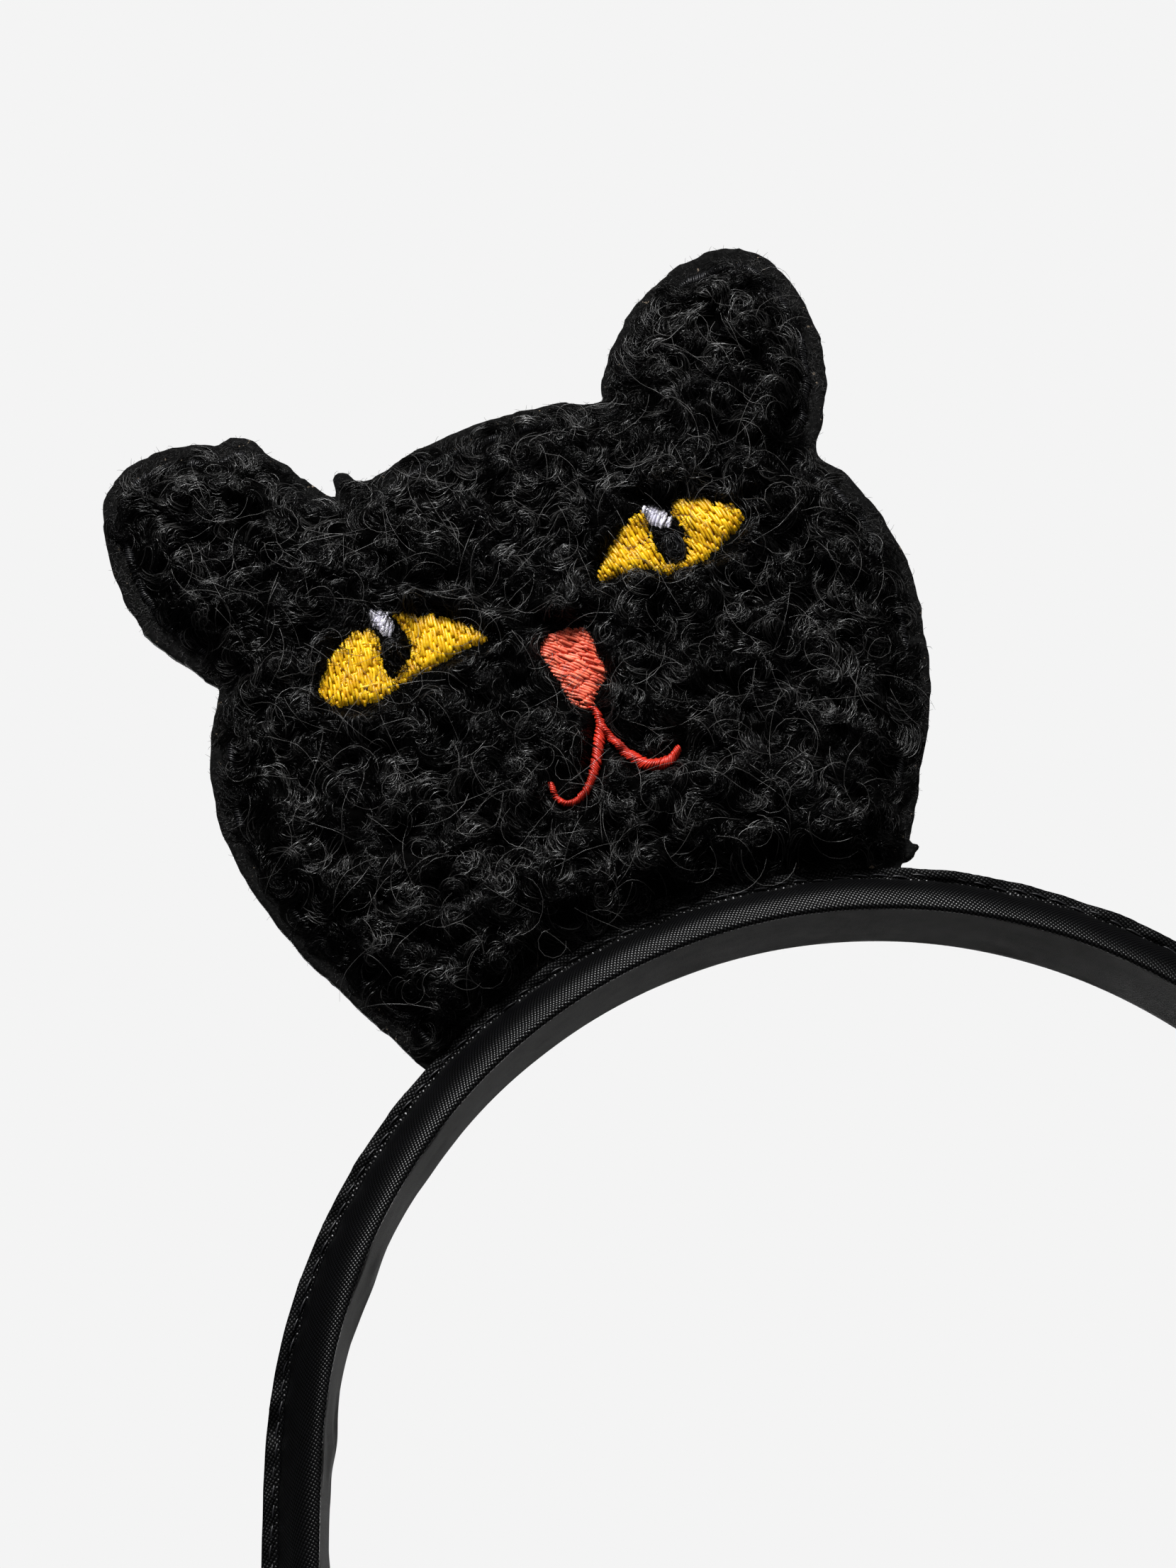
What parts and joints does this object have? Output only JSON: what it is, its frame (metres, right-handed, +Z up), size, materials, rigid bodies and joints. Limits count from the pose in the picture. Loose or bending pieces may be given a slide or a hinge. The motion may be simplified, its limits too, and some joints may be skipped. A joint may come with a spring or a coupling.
{
  "type": "animal ears headband",
  "caption": "Adult costume headband: a padded black satin band with one flat curly plush cat head, with ears, sewn upright into its outer seam.",
  "frame": {"origin": "centre of the band's half-round crown, on the axis that the wearer's head fits round", "axes": "+Z up as worn, from the head to the top of the band; +X to the viewer's right; -Y is the embroidered front; Y runs across the band's width"},
  "size_m": [0.1597, 0.0166, 0.2078],
  "materials": {
    "satin": "black polyester satin, fine weave, soft sheen",
    "core_plastic": "moulded polypropylene strip",
    "foam": "grey wadding strip",
    "felt": "black felt, cut edge, lint",
    "wadding": "stiff interlining",
    "curly_pile": "black curly plush pile",
    "black_thread": "black polyester thread",
    "yellow_thread": "yellow rayon embroidery thread, satin stitch",
    "white_thread": "pale lilac-white embroidery thread",
    "coral_thread": "coral embroidery thread, satin stitch",
    "red_thread": "red embroidery thread, narrow satin stitch"
  },
  "bodies": {
    "band": {"satin_cover": "satin", "core_strip": "core_plastic", "padding_strip": "foam", "seam_thread_front": "black_thread", "seam_thread_back": "black_thread", "tip_fold_left": "satin", "tip_fold_right": "satin", "head_seam_tab": "felt"},
    "cat_head": {"felt_backing": "felt", "head_wadding": "wadding", "border_stitching": "black_thread", "pile_face": "curly_pile", "eye_left": "yellow_thread", "eye_right": "yellow_thread", "pupil_left": "black_thread", "pupil_right": "black_thread", "glint_left": "white_thread", "glint_right": "white_thread", "nose_embroidery": "coral_thread", "mouth_stem": "red_thread", "mouth_left": "red_thread", "mouth_right": "red_thread"}
  },
  "joints": [
    {"name": "head_tilt", "type": "hinge", "parent": "band", "child": "cat_head", "pos_m": [-0.02677, 0, 0.06338], "axis": [0.9212, 0, 0.3891], "range_deg": [-30, 30], "stiffness_Nm_per_rad": 0.02}
  ]
}
